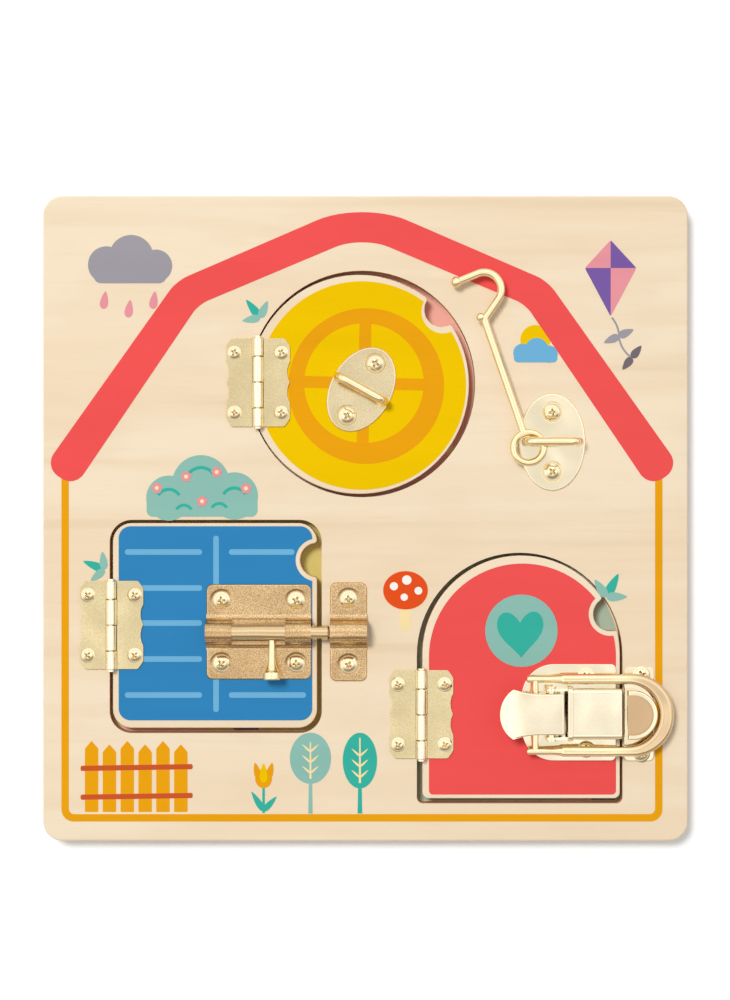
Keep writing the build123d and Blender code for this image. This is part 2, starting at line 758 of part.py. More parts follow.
lever -= cross_bar(lever_pin_x, lever_pin_h, lever_pin_r + latch_fit, lever_half + cut_over)
lever -= cross_bar(bail_pin_x, bail_pin_h, bail_pin_r + latch_fit, lever_half + cut_over)
parts["latch_lever"] = lever

# The bail is a forged loop: round necks with in-turned ends, and flatter legs that widen round the catch.
bail_plan = Pos(bail_outer_x) * Circle(bail_outer_half)
bail_plan += Pos((bail_leg_left + bail_outer_x) / 2) * Rectangle(bail_outer_x - bail_leg_left, 2 * bail_outer_half)
bail_plan -= Pos(bail_inner_x) * Circle(bail_inner_half)
inner_left = bail_leg_left - cut_over
bail_plan -= Pos((inner_left + bail_inner_x) / 2) * Rectangle(bail_inner_x - inner_left, 2 * bail_inner_half)
bail_y = latch_y - bail_drop
bail = Pos(0, bail_y, face + bail_pin_h - bail_thick / 2) * extrude(bail_plan, bail_thick)
bail = fillet(bail.edges(), bail_edge_r)
leg_y = (bail_outer_half + bail_inner_half) / 2
for s in (-1, 1):
    neck = (bail_neck_left, bail_y + s * leg_y, face + bail_pin_h)
    bail += bar(bail_neck_r, neck, (bail_leg_left + bail_edge_r, neck[1], neck[2]))
    bail += bar(bail_pin_r, (bail_pin_x, neck[1], neck[2]), (bail_pin_x, bail_y + s * bail_pin_in, neck[2]))
    bail += Pos(*neck) * Sphere(bail_neck_r)
    taper = Cone(bail_neck_r, bail_taper_r, bail_taper_right - bail_taper_left)
    bail += Pos((bail_taper_left + bail_taper_right) / 2, neck[1], neck[2]) * Rot(0, 90, 0) * taper
parts["latch_bail"] = bail


def catch_sketch(inset):
    # the catch seen from above: a half disc with short straight sides
    radius = catch_r - inset
    back = Pos((catch_left + catch_x) / 2) * Rectangle(catch_x - catch_left, 2 * radius)
    keep = Pos(catch_x + radius / 2) * Rectangle(radius, 2 * radius)
    return back + (Pos(catch_x) * Circle(radius) & keep)


strike_plan = Pos((strike_left + strike_right) / 2) * RectangleRounded(
    strike_right - strike_left, 2 * strike_half, strike_r)
strike = Pos(0, strike_y, face) * extrude(strike_plan, strike_thick)
strike = fillet(at_height(strike, face + strike_thick), strike_edge_r)
catch = extrude(catch_sketch(0), catch_h)
catch = fillet(at_height(catch, catch_h), catch_edge_r)
catch -= Pos(0, 0, catch_h - catch_dish) * extrude(catch_sketch(catch_rim), catch_dish + cut_over)
strike += Pos(0, strike_y, face) * catch
parts["latch_strike"] = strike - shank_holes(strike_spots, strike_thick, face)
parts["latch_strike_screws"] = screws(strike_spots, face + strike_thick)


for node, solid in parts.items():
    export_step(solid, f"parts/{node}.step")
print(len(parts), "parts written")
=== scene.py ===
from math import atan2, cos, pi, radians, sin

import bmesh
import bpy
from mathutils import Matrix, Vector


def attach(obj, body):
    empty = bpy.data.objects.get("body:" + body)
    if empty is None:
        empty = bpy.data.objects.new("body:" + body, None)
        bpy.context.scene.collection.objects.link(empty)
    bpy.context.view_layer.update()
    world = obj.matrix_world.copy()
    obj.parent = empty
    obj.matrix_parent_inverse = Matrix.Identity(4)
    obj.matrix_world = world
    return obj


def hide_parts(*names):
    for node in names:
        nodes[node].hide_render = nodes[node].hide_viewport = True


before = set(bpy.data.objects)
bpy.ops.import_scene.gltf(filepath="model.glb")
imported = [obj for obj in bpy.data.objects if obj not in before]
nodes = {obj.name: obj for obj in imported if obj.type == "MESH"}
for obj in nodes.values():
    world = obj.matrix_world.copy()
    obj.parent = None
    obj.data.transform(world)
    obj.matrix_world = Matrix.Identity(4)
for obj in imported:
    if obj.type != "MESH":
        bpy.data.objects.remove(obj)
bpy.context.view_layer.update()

scene = bpy.context.scene
mm = 0.001
mostNoise = (0.3, 0.7)  # between these lie most values of a noise

# Heights over the table, and the board's outline, in millimetres
board = {"back": 3.0, "face": 12.0, "half": 150.0, "corner": 9.0}

# The picture: its size in pixels, how many go to a millimetre of the board's face, and how many the board's middle
# lies below and right of the picture's; then the camera's height over the face and its film, in millimetres
view = {"wide": 730, "tall": 1000, "scale": 2.15, "low": 18.5, "aside": 0.5, "height": 1000.0, "film": 24.0}


# Shader helpers

def paint(red, green, blue):
    # a colour as a paint program gives it, made linear
    def linear(value):
        value /= 255
        return value / 12.92 if value <= 0.04045 else ((value + 0.055) / 1.055) ** 2.4
    return (linear(red), linear(green), linear(blue), 1.0)


class Wire:
    # a socket in a node tree; arithmetic on it adds Math nodes
    def __init__(self, graph, socket):
        self.graph = graph
        self.socket = socket

    def maths(self, operation, first, second):
        return self.graph.node("Math", {"operation": operation}, {0: first, 1: second})

    def twin(self, name):
        # another output of the same node
        return Wire(self.graph, self.socket.node.outputs[name])

    def __add__(self, other):
        return self.maths("ADD", self, other)

    def __radd__(self, other):
        return self.maths("ADD", other, self)

    def __sub__(self, other):
        return self.maths("SUBTRACT", self, other)

    def __rsub__(self, other):
        return self.maths("SUBTRACT", other, self)

    def __mul__(self, other):
        return self.maths("MULTIPLY", self, other)

    def __rmul__(self, other):
        return self.maths("MULTIPLY", other, self)

    def __gt__(self, other):
        return self.maths("GREATER_THAN", self, other)

    def __lt__(self, other):
        return self.maths("LESS_THAN", self, other)


class Graph:
    # the nodes of a material or of the world
    def __init__(self, tree):
        self.tree = tree

    def node(self, kind, settings=None, sockets=None, output=0):
        made = self.tree.nodes.new("ShaderNode" + kind)
        for key, value in (settings or {}).items():
            if key == "stops":
                band = made.color_ramp
                band.elements[0].position, band.elements[0].color = value[0]
                band.elements[-1].position, band.elements[-1].color = value[-1]
                for place, colour in value[1:-1]:
                    band.elements.new(place).color = colour
            else:
                setattr(made, key, value)
        for key, value in (sockets or {}).items():
            if isinstance(value, Wire):
                self.tree.links.new(value.socket, made.inputs[key])
            else:
                made.inputs[key].default_value = value
        return Wire(self, made.outputs[output])

    def between(self, value, low, high, out=(0.0, 1.0)):
        return self.node("MapRange", {"interpolation_type": "SMOOTHSTEP"}, {
            "Value": value, "From Min": low, "From Max": high, "To Min": out[0], "To Max": out[1]})

    def blend(self, share, first, second):
        return self.node("Mix", {"data_type": "RGBA"}, {0: share, 6: first, 7: second}, output=2)

    def choose(self, share, first, second):
        return self.node("MixShader", {}, {0: share, 1: first, 2: second})


class Finish(Graph):
    # one material, with its steady values set straight on the shader
    def __init__(self, name, steady):
        self.material = bpy.data.materials.new(name)
        self.material.use_nodes = True
        super().__init__(self.material.node_tree)
        self.shader = self.tree.nodes["Principled BSDF"]
        for socket, value in steady.items():
            self.shader.inputs[socket].default_value = value

    def spot(self):
        # a point of the piece, in its own coordinates and in metres
        return self.node("TexCoord", output=3)

    def place(self, stretch=(1, 1, 1), shift=(0, 0, 0)):
        # the piece's own coordinates, stretched into pattern lengths
        return self.node("Mapping", {}, {"Vector": self.spot(), "Scale": stretch, "Location": shift})

    def noise(self, where, scale, detail, rough, warp=0.0):
        return self.node("TexNoise", {}, {
            "Vector": where, "Scale": scale, "Detail": detail, "Roughness": rough, "Distortion": warp})

    def layer(self, look, shift=(0, 0, 0)):
        # one layer of grain
        return self.noise(self.place(look["stretch"], shift), 1.0, *look["noise"])

    def showing(self, layer, look):
        # where a layer is strong enough to show, and how much of it does
        return self.between(layer, *look["shows"], (0.0, look["share"]))

    def heights(self):
        # the X, Y and Z of a point of the piece
        split = self.node("SeparateXYZ", {}, {0: self.spot()})
        return [Wire(self, split.socket.node.outputs[axis]) for axis in range(3)]

    def bump(self, height, strength, distance, under=None):
        # relief over the surface, or over the relief that is already there
        sockets = {"Height": height, "Strength": strength, "Distance": distance}
        if under:
            sockets["Normal"] = under
        return self.node("Bump", {}, sockets)

    def feed(self, **links):
        for name, value in links.items():
            self.tree.links.new(value.socket, self.shader.inputs[name.replace("_", " ")])


# Plywood

wood = {
    "pale": paint(243, 224, 195),
    "warm": paint(238, 216, 184),
    "streak": paint(224, 197, 160),
    "burnt": paint(230, 186, 144),
    "singed": paint(206, 158, 114),
    "core": paint(206, 172, 128),
    "ply": 0.003,  # one light and one dark layer together, in metres
    "walls": (0.0035, 0.01175),  # heights between which the cut-outs' walls lie
    "rim": 0.1494,  # what lies further out is the board's own edge
    "rim corner": 0.275,  # the same for x and y together, at the rounded corners
    "rough": (0.44, 0.56),
    "figure relief": 0.6,  # over the fibre's
    "relief": 0.10,
    "relief depth": 0.0002,
}
# Layers of grain: pattern lengths, noise (detail, roughness, warp), the noise between which they show, their share
grain = {
    "broad": {"stretch": (5, 46, 30), "noise": (4.0, 0.5, 0.4), "shows": (0.38, 0.66), "share": 1.0},
    "cloud": {"stretch": (26, 60, 30), "noise": (2.0, 0.5, 0.0), "shows": (0.45, 0.75), "share": 0.16},
    "vein": {"stretch": (3, 95, 30), "noise": (2.0, 0.4, 0.3), "shows": (0.60, 0.74), "share": 0.36},
    "figure": {"stretch": (9, 150, 60), "noise": (3.0, 0.6, 0.8), "shows": (0.56, 0.78), "share": 0.22},
    "fibre": {"stretch": (70, 1500, 400), "noise": (2.0, 0.6, 0.0), "shows": (0.52, 0.76), "share": 0.14},
    "scorch": {"stretch": (45, 45, 1300), "noise": (3.0, 0.55, 0.0), "shows": (0.3, 0.75), "share": 1.0},
}


def plywood(name, shift, outer=False):
    # grain along X on the faces, a scorched laser cut on the inside walls, plies on the outside ones
    skin = Finish(name, {"Specular IOR Level": 0.35})
    layers = {part: skin.layer(look, shift) for part, look in grain.items()}
    showing = {part: skin.showing(layers[part], look) for part, look in grain.items()}
    tone = skin.blend(showing["broad"], wood["pale"], wood["warm"])
    for part in ("cloud", "vein", "figure", "fibre"):
        tone = skin.blend(showing[part], tone, wood["streak"])
    burnt = skin.blend(showing["scorch"], wood["burnt"], wood["singed"])
    x, y, z = skin.heights()
    low, high = wood["walls"]
    wall = (z > low) * (z < high)
    if outer:
        wide = x.maths("ABSOLUTE", x, 0.0)
        tall = y.maths("ABSOLUTE", y, 0.0)
        sides = wide.maths("MAXIMUM", wide, tall) > wood["rim"]
        edge = wide.maths("MAXIMUM", sides, wide + tall > wood["rim corner"])
        layer = z * (1 / wood["ply"])
        plies = skin.blend(layer.maths("FRACT", layer, 0.0) > 0.5, wood["core"], wood["warm"])
        burnt = skin.blend(edge, burnt, plies)
    tone = skin.blend(wall, tone, burnt)
    relief = layers["fibre"] + layers["figure"] * wood["figure relief"]
    skin.feed(Base_Color=tone, Roughness=skin.between(layers["figure"], *mostNoise, wood["rough"]),
              Normal=skin.bump(relief, wood["relief"], wood["relief depth"]))
    return skin


doorShifts = {"window_door": (0.3, 0.7, 0), "shutter_door": (1.7, 2.9, 0), "arched_door": (4.1, 5.3, 0)}
for name, shift in doorShifts.items():
    nodes[name].material_slots[0].material = plywood(name + "Ply", shift).material
nodes["face_panel"].material_slots[0].material = plywood("facePly", (2.2, 0.4, 0), outer=True).material
nodes["back_board"].material_slots[0].material = plywood("backPly", (6.5, 1.1, 0), outer=True).material
print("plywood done")


# Plated metal: its colour, its pits' colour and how much they show, its roughness, the pits' fineness and relief

plating = {
    # the hinge's knuckle colour is a painted highlight: the knuckles are painted lighter for the light they catch
    # from above
    "hinge": {"colour": (230, 213, 168), "patch": (199, 176, 129), "share": 0.35, "rough": (0.14, 0.20),
              "grain": 1100, "bump": 0.05, "knuckle": (252, 241, 212), "knuckle from": 0.0134},
    "bolt": {"colour": (234, 202, 153), "patch": (172, 135, 92), "share": 0.80, "rough": (0.17, 0.24),
             "grain": 2100, "bump": 0.05},
    "rod": {"colour": (218, 193, 150), "patch": (190, 154, 110), "share": 0.20, "rough": (0.10, 0.16),
            "grain": 1500, "bump": 0.02},
    "eye": {"colour": (236, 219, 178), "patch": (196, 174, 132), "share": 0.40, "rough": (0.13, 0.19),
            "grain": 1600, "bump": 0.03},
    "anchor": {"colour": (242, 230, 200), "patch": (232, 214, 176), "share": 0.15, "rough": (0.09, 0.14),
               "grain": 900, "bump": 0.01},
    "bright": {"colour": (246, 235, 208), "patch": (226, 208, 172), "share": 0.12, "rough": (0.08, 0.13),
               "grain": 700, "bump": 0.01},
    "lever": {"colour": (243, 231, 203), "patch": (226, 208, 172), "share": 0.12, "rough": (0.08, 0.13),
              "grain": 700, "bump": 0.01, "crease": 0.069, "spread": 0.0065, "rise": 0.216},
    "wire": {"colour": (246, 228, 186), "patch": (228, 202, 152), "share": 0.15, "rough": (0.07, 0.12),
             "grain": 900, "bump": 0.01},
    # the bail's darker tan towards its arc is a painted dim reflection of the room on that side
    "bail": {"colour": (246, 228, 186), "patch": (228, 202, 152), "share": 0.15, "rough": (0.07, 0.12),
             "grain": 900, "bump": 0.01, "painted dim reflection": (220, 192, 152), "worn from": (0.114, 0.132)},
    "strike": {"colour": (244, 231, 201), "patch": (236, 216, 176), "share": 0.10, "rough": (0.08, 0.13),
               "grain": 700, "bump": 0.01, "dish": (203, 171, 132), "dish floor": (0.0183, 0.0186), "dull": 0.2},
    "screw": {"colour": (246, 232, 196), "patch": (214, 190, 146), "share": 0.20, "rough": (0.09, 0.15),
              "grain": 1200, "bump": 0.02},
}
# Faint clouds, fine pits, and the sway of thin sheet, which is never quite flat
sheetMetal = {
    "cloud": {"fineness": 60, "noise": (2.0, 0.5), "share": 0.5},
    "pits": {"noise": (3.0, 0.6), "shows": (0.42, 0.60), "depth": 0.0002},
    "sway": {"fineness": 42, "noise": (1.0, 0.4), "shift": (3.0, 7.0, 0), "depth": 0.0016},
}


def plated(name, look):
    # thin gold-coloured plating over steel, faintly cloudy and finely pitted
    metal = Finish(name, {"Metallic": 1.0})
    cloud, pits, sway = sheetMetal["cloud"], sheetMetal["pits"], sheetMetal["sway"]
    cloudy = metal.noise(metal.spot(), cloud["fineness"], *cloud["noise"])
    pitted = metal.noise(metal.spot(), look["grain"], *pits["noise"])
    swaying = metal.noise(metal.place(shift=sway["shift"]), sway["fineness"], *sway["noise"])
    share, patch = look["share"], paint(*look["patch"])
    veil = metal.between(cloudy, *mostNoise, (0.0, share * cloud["share"]))
    tone = metal.blend(veil, paint(*look["colour"]), patch)
    tone = metal.blend(metal.between(pitted, *pits["shows"], (0.0, share)), tone, patch)
    rough = metal.between(pitted, *mostNoise, look["rough"])
    if "dish" in look:
        height = metal.heights()[2]
        low, high = look["dish floor"]
        floor = (height > low) * (height < high)
        tone = metal.blend(floor, tone, paint(*look["dish"]))
        rough = rough + floor * look["dull"]
    # painted highlight: the knuckles, above the height given, are painted lighter than the leaves
    if "knuckle" in look:
        tone = metal.blend(metal.heights()[2] > look["knuckle from"], tone, paint(*look["knuckle"]))
    # painted reflection: past the x given, the bail's arc is painted a darker tan
    if "painted dim reflection" in look:
        along = metal.heights()[0]
        tone = metal.blend(metal.between(along, *look["worn from"]), tone, paint(*look["painted dim reflection"]))
    crease = softCrease(metal, look) if "crease" in look else None
    under = metal.bump(swaying, 1.0, sway["depth"], crease)
    metal.feed(Base_Color=tone, Roughness=rough, Normal=metal.bump(pitted, look["bump"], pits["depth"], under))
    return metal


def softCrease(metal, look):
    # the strip is bent up to its tip in a long gentle curve, so its light changes gradually there
    along = metal.heights()[0]
    crease, spread, rise = look["crease"], look["spread"], look["rise"]
    tilt = metal.between(along, crease - spread, crease + spread, (rise, 0.0)) - (along < crease) * rise
    lean = metal.node("CombineXYZ", {}, {"X": tilt})
    straight = metal.node("TexCoord", output=1)
    bent = metal.node("VectorMath", {"operation": "ADD"}, {0: straight, 1: lean})
    return metal.node("VectorTransform", {"vector_type": "NORMAL", "convert_from": "OBJECT", "convert_to": "WORLD"},
                      {"Vector": bent})


metals = {kind: plated(kind + "Plating", look) for kind, look in plating.items()}
wearing = {
    "hinge": ["_hinge_frame_leaf", "_hinge_door_leaf", "_hinge_pin"],
    "bolt": ["bolt_plate", "bolt_keeper"],
    "rod": ["bolt_rod"],
    "eye": ["eye_plate"],
    "anchor": ["anchor_plate"],
    "bright": ["latch_base"],
    "lever": ["latch_lever"],
    "wire": ["bolt_knob", "eye_staple", "anchor_staple", "hook", "latch_lever_pin"],
    "bail": ["latch_bail"],
    "strike": ["latch_strike"],
    "screw": ["_screws"],
}
for kind, endings in wearing.items():
    for name, node in nodes.items():
        if any(name.endswith(ending) for ending in endings):
            node.material_slots[0].material = metals[kind].material
print("metal done")


# Screws with a cross recess, in millimetres

screw = {"rim": 0.35, "shank": 1.4, "length": 6.8, "tip": 2.2, "lip": (0.15, 0.12), "dome steps": 7, "steps": 28,
         "stops": (37, 53, 29)}  # its cross turns by so many degrees for its x, its y and its number
heads = {
    "hinge": {"head": 3.45, "height": 1.7, "cross": 2.3, "arm": 0.6, "depth": 1.7},
    "latch": {"head": 4.0, "height": 1.9, "cross": 2.6, "arm": 0.68, "depth": 2.0},
}
crossTool = {"taper": 0.35, "thin": 0.15, "over": 0.4}  # its arms get shorter and thinner downwards
sharpFrom = 32  # degrees between two faces, over which their edge stays sharp


def addPiece(name, bm, body, finish, smooth=True):
    # a finished mesh in millimetres becomes a piece in metres
    bmesh.ops.scale(bm, vec=(mm, mm, mm), verts=bm.verts)
    mesh = bpy.data.meshes.new(name)
    bm.to_mesh(mesh)
    bm.free()
    piece = bpy.data.objects.new(name, mesh)
    scene.collection.objects.link(piece)
    mesh.materials.append(finish.material)
    if smooth:
        mesh.polygons.foreach_set("use_smooth", [True] * len(mesh.polygons))
        mesh.set_sharp_from_angle(angle=radians(sharpFrom))
    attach(piece, body)
    return piece


def carve(bm, tool):
    # takes one closed shape out of another
    pair = []
    for part in (bm, tool):
        mesh = bpy.data.meshes.new("carving")
        part.to_mesh(mesh)
        part.free()
        thing = bpy.data.objects.new("carving", mesh)
        scene.collection.objects.link(thing)
        pair.append(thing)
    cut = pair[0].modifiers.new("cut", "BOOLEAN")
    cut.operation = "DIFFERENCE"
    cut.solver = "EXACT"
    cut.object = pair[1]
    done = bpy.data.meshes.new_from_object(pair[0].evaluated_get(bpy.context.evaluated_depsgraph_get()))
    result = bmesh.new()
    result.from_mesh(done)
    for thing in pair:
        mesh = thing.data
        bpy.data.objects.remove(thing)
        bpy.data.meshes.remove(mesh)
    bpy.data.meshes.remove(done)
    return result


def turned(bm, verts, degrees):
    bmesh.ops.rotate(bm, cent=(0, 0, 0), matrix=Matrix.Rotation(radians(degrees), 3, "Z"), verts=verts)


def makeScrew(head):
    # the head's and shank's outline is spun, then a tapered cross is cut out of the head
    bm = bmesh.new()
    dome = head["height"] - screw["rim"]
    ball = (head["head"] ** 2 + dome ** 2) / (2 * dome)
    widest = atan2(head["head"], ball - dome)
    lipIn, lipUp = screw["lip"]
    count = screw["dome steps"]
    outline = [(0, -screw["length"]), (screw["shank"], screw["tip"] - screw["length"]), (screw["shank"], 0),
               (head["head"] - lipIn, 0), (head["head"], lipUp)]
    outline += [(ball * sin(widest * step / count), head["height"] - ball * (1 - cos(widest * step / count)))
                for step in range(count, -1, -1)]
    points = [bm.verts.new((x, 0, z)) for x, z in outline]
    edges = [bm.edges.new(pair) for pair in zip(points, points[1:])]
    bmesh.ops.spin(bm, geom=points + edges, cent=(0, 0, 0), axis=(0, 0, 1), dvec=(0, 0, 0), angle=2 * pi,
                   steps=screw["steps"], use_merge=True, use_duplicate=False)
    bmesh.ops.remove_doubles(bm, verts=bm.verts, dist=0.001)
    bmesh.ops.recalc_face_normals(bm, faces=bm.faces)
    for turn in (0, 90):
        arm = bmesh.new()
        bmesh.ops.create_cube(arm, size=2.0)
        for vert in arm.verts:
            low = vert.co.z < 0
            vert.co.x *= head["cross"] * (crossTool["taper"] if low else 1.0)
            vert.co.y *= head["arm"] * (crossTool["thin"] if low else 1.0)
            vert.co.z = head["height"] + (-head["depth"] if low else crossTool["over"])
        turned(arm, arm.verts, turn)
        bm = carve(bm, arm)
    mesh = bpy.data.meshes.new("screw")
    bm.to_mesh(mesh)
    bm.free()
    return mesh


plainScrews = {kind: makeScrew(head) for kind, head in heads.items()}


def screwGroup(node, body, seat, spots, kind="latch"):
    # each screw stopped at its own angle when it was driven home
    bm = bmesh.new()
    byX, byY, byPlace = screw["stops"]
    for place, (x, y) in enumerate(spots):
        old = set(bm.verts)
        bm.from_mesh(plainScrews[kind])
        new = [vert for vert in bm.verts if vert not in old]
        turned(bm, new, (x * byX + y * byY + place * byPlace) % 90)
        bmesh.ops.translate(bm, vec=(x, y, seat), verts=new)
    piece = addPiece(node.replace("_", "-") + "-heads", bm, body, metals["screw"])
    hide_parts(node)


def aside(x, y, dx, dy):
    # a place on either side of x, y
    return [(x - dx, y - dy), (x + dx, y + dy)]


# The plates are 1 mm thick, and pressed seats let some of the screws half as deep into them
seats = {"flat": board["face"] + 1.0, "pressed": board["face"] + 0.5}
# Each hinge by the middle of its pin, with its screws so far aside of it and up and down
hinges = {"window": (-50.0, 63.2), "shutter": (-118.1, -49.5), "arched": (26.0, -91.0)}
hingeScrews = {"aside": 10.9, "up": 14}
# The oval plates' screws lie so far from their middle, and the eye's plate is turned
oval = {"reach": 13.8, "eye turn": radians(61.4)}
eyeReach = (oval["reach"] * cos(oval["eye turn"]), oval["reach"] * sin(oval["eye turn"]))
# A pair of screws by its middle and the way from there to the last screw; rows lie that far above and below
fittings = {
    "eye_screws": {"body": "window_door", "seat": "pressed", "middle": (-2.0, 60.0), "reach": eyeReach},
    "anchor_screws": {"body": "board", "seat": "pressed", "middle": (86.8, 35.6), "reach": (0, oval["reach"])},
    "bolt_plate_screws": {"body": "shutter_door", "seat": "pressed", "middle": (-49.6, -52.7), "reach": (17.4, 0),
                          "rows": (14.7, -14.7)},
    "bolt_keeper_screws": {"body": "board", "seat": "pressed", "middle": (-7.9, -52.7), "reach": (0, 15.3)},
    "latch_base_screws": {"body": "arched_door", "seat": "flat", "middle": (102.6, -90.1), "reach": (0, 17.0)},
    "latch_strike_screws": {"body": "board", "seat": "flat", "middle": (128.2, -90.8), "reach": (0, 18.3)},
}
for door, (x, y) in hinges.items():
    for leaf, body, way in (("frame", "board", -1), ("door", door + "_door", 1)):
        spots = aside(x + way * hingeScrews["aside"], y, 0, hingeScrews["up"])
        screwGroup(door + "_hinge_" + leaf + "_screws", body, seats["flat"], spots, "hinge")
for node, fitting in fittings.items():
    x, y = fitting["middle"]
    spots = [spot for row in fitting.get("rows", (0,)) for spot in aside(x, y + row, *fitting["reach"])]
    screwGroup(node, fitting["body"], seats[fitting["seat"]], spots)
print("screws done")


# Print, in millimetres

ink = {
    "thick": 0.10,
    "layer": 0.05,  # a colour printed over another stands this much higher
    "stagger": 0.004,  # and so does each shape over the last one of its colour
    "deep": 0.90,  # its darkest shade, as a share of its colour
    "rough": (0.42, 0.54),
    "relief": 0.08,
    "relief depth": 0.0002,
    "bite steps": 64,
    "bite depth": 8,
}
# The grain that shows through it
inkGrain = {
    "cloud": {"stretch": (9, 60, 30), "noise": (3.0, 0.5, 0.0), "shows": (0.35, 0.75), "share": 0.45},
    "fibre": {"stretch": (60, 1300, 300), "noise": (2.0, 0.6, 0.0), "shows": (0.55, 0.8), "share": 0.30},
}
inkColours = {
    "red": (240, 85, 83), "yellow": (241, 197, 2), "orange": (235, 162, 17), "blue": (51, 132, 187),
    "light blue": (112, 178, 216), "teal": (57, 178, 160), "pale teal": (141, 190, 177), "grey": (160, 155, 162),
    "dark grey": (116, 107, 114), "purple": (122, 92, 164), "pink": (233, 150, 158), "scarlet": (232, 82, 32),
    # rose is lighter than the print's own pink: painted light that brightens the back pictures in the doors' shade
    "white": (250, 246, 238), "brown": (204, 86, 44), "rose": (246, 184, 170), "olive": (218, 206, 124),
    "sage": (180, 202, 180), "cream": (250, 226, 170),
}
inks = {}


def inkFinish(name):
    # flat printed ink that lets a little of the grain's relief through
    colour = paint(*inkColours[name])
    skin = Finish("ink-" + name.replace(" ", "-"), {"Specular IOR Level": 0.03})
    deep = tuple(channel * ink["deep"] for channel in colour[:3]) + (1.0,)
    layers = {part: skin.layer(look) for part, look in inkGrain.items()}
    tone = colour
    for part, look in inkGrain.items():
        tone = skin.blend(skin.showing(layers[part], look), tone, deep)
    fibre = layers["fibre"]
    skin.feed(Base_Color=tone, Roughness=skin.between(fibre, *mostNoise, ink["rough"]),
              Normal=skin.bump(fibre, ink["relief"], ink["relief depth"]))
    return skin


def settle(bm, verts, x, y, turn):
    turned(bm, verts, turn)
    bmesh.ops.translate(bm, vec=(x, y, 0), verts=verts)


def disc(bm, x, y, radius, stretch=1.0, turn=0.0, steps=40):
    # a filled circle or ellipse; stretch is its height over its width
    ring = bmesh.ops.create_circle(bm, cap_ends=True, segments=steps, radius=radius)["verts"]
    bmesh.ops.scale(bm, vec=(1, stretch, 1), verts=ring)
    settle(bm, ring, x, y, turn)
    return ring[0].link_faces[:]


def sheet(bm, points):
    # a flat outline; a corner's third number says how far from it its rounding starts
    corners = [bm.verts.new((point[0], point[1], 0)) for point in points]
    face = bm.faces.new(corners)
    for corner, point in zip(corners, points):
        if len(point) > 2 and point[2] > 0:
            bmesh.ops.bevel(bm, geom=[corner], offset=point[2], offset_type="OFFSET", affect="VERTICES",
                            segments=12, profile=0.5, material=-1)
    return bm.faces[-1:] if not face.is_valid else [face]


def box(left, low, right, top, cut=0.0):
    # the corners of an upright rectangle, rounded by cut
    return [(left, low, cut), (right, low, cut), (right, top, cut), (left, top, cut)]


def strip(bm, x, y, length, width, turn=0.0, cut=0.0):
    # a straight band about its own middle, with its corners rounded by cut
    faces = sheet(bm, box(-length / 2, -width / 2, length / 2, width / 2, cut))
    settle(bm, bm.verts[:], x, y, turn)
    return faces


def arcBand(bm, x, y, radius, width, start, end):
    # part of a ring, spun from a short edge by about six degrees a step
    ends = [bm.verts.new((radius + side * width / 2, 0, 0)) for side in (-1, 1)]
    edge = bm.edges.new(ends)
    steps = max(3, int(abs(end - start) / 6))
    bmesh.ops.spin(bm, geom=ends + [edge], cent=(0, 0, 0), axis=(0, 0, 1), dvec=(0, 0, 0),
                   angle=radians(end - start), steps=steps, use_merge=False, use_duplicate=False)
    settle(bm, bm.verts[:], x, y, start)
    return bm.faces[:]


def leafShape(bm, x, y, length, width, turn):
    # a leaf that starts at x, y: an ellipse drawn out to a point at its far end
    ring = bmesh.ops.create_circle(bm, cap_ends=True, segments=24, radius=0.5)["verts"]
    for vert in ring:
        along = vert.co.x + 0.5
        vert.co.y *= width * (1.15 - 0.75 * along)
        vert.co.x = along * length
    settle(bm, ring, x, y, turn)
    return ring[0].link_faces[:]


def heart(bm, x, y, width, height, turn):
    # the usual heart curve, two round lobes over a point, laid over a circle
    ring = bmesh.ops.create_circle(bm, cap_ends=True, segments=64, radius=1.0)["verts"]
    for vert in ring:
        angle = pi / 2 - atan2(vert.co.y, vert.co.x)
        wide = 16 * sin(angle) * abs(sin(angle)) ** 1.2
        tall = 13 * cos(angle) - 5 * cos(2 * angle) - 2 * cos(3 * angle) - cos(4 * angle)
        vert.co.x = wide * width / 32
        vert.co.y = (tall + 2.5) * height / 29
    settle(bm, ring, x, y, turn)
    return ring[0].link_faces[:]


def solidPrint(shapes, level, ground):
    # flat shapes get the thickness of the ink
    bm = bmesh.new()
    for index, (form, *sizes) in enumerate(shapes):
        part = bmesh.new()
        faces = form(part, *sizes)
        lift = ink["thick"] + level * ink["layer"] + index * ink["stagger"]
        raised = bmesh.ops.extrude_face_region(part, geom=faces, use_keep_orig=False)["geom"]
        top = [item for item in raised if isinstance(item, bmesh.types.BMVert)]
        bmesh.ops.translate(part, vec=(0, 0, lift), verts=top)
        bmesh.ops.recalc_face_normals(part, faces=part.faces)
        mesh = bpy.data.meshes.new("print")
        part.to_mesh(mesh)
        part.free()
        bm.from_mesh(mesh)
        bpy.data.meshes.remove(mesh)
    bmesh.ops.translate(bm, vec=(0, 0, ground), verts=bm.verts)
    return bm


def printed(name, body, colour, level, shapes, ground=board["face"], bites=()):
    # a colour of the print on a panel or door; bites are taken out round the finger notches
    if colour not in inks:
        inks[colour] = inkFinish(colour)
    bm = solidPrint(shapes, level, ground)
    for x, y, radius in bites:
        tool = bmesh.new()
        bmesh.ops.create_cone(tool, cap_ends=True, segments=ink["bite steps"], radius1=radius, radius2=radius,
                              depth=ink["bite depth"], matrix=Matrix.Translation((x, y, ground)))
        bm = carve(bm, tool)
    return addPiece(name, bm, body, inks[colour], smooth=False)


def figures(table, ground=board["face"]):
    # each piece by its colour, how many colours lie under it, and its shapes on the board
    for name, (colour, level, shapes) in table.items():
        printed(name, "board", colour, level, shapes, ground)


def across(pixel):
    return (pixel - view["wide"] / 2 - view["aside"]) / view["scale"]


def up(pixel):
    return (view["tall"] / 2 + view["low"] - pixel) / view["scale"]


